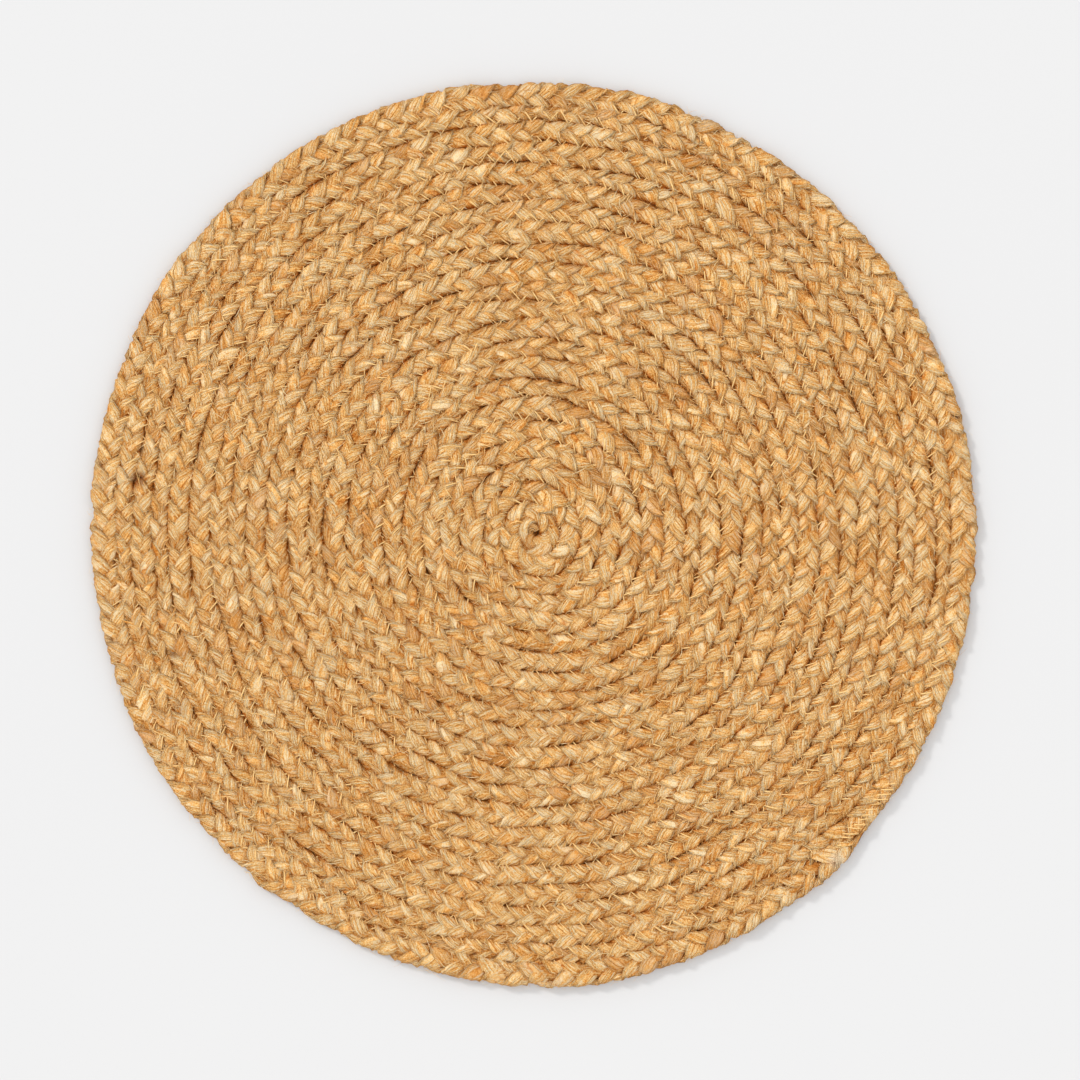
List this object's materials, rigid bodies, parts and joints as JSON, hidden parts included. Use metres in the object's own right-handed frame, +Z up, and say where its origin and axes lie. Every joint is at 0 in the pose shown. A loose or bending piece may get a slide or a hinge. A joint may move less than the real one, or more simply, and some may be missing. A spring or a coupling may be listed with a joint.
{
  "type": "round plaited jute placemat",
  "caption": "Round flat placemat of natural jute: one long flat plait coiled outward from the middle and sewn edge to edge, for a place setting on a table.",
  "frame": {"origin": "middle of the mat's outline on the plane that its underside rests on", "axes": "+Z up, out of the upper face; +Y along the outline's long way, with the plait's outer end at the lower right, toward +X and -Y"},
  "size_m": [0.3782, 0.3856, 0.0055],
  "materials": {
    "jute": "matte natural plant fibre, plaited"
  },
  "bodies": {
    "root": {"coiled_plait": "jute"}
  },
  "joints": []
}
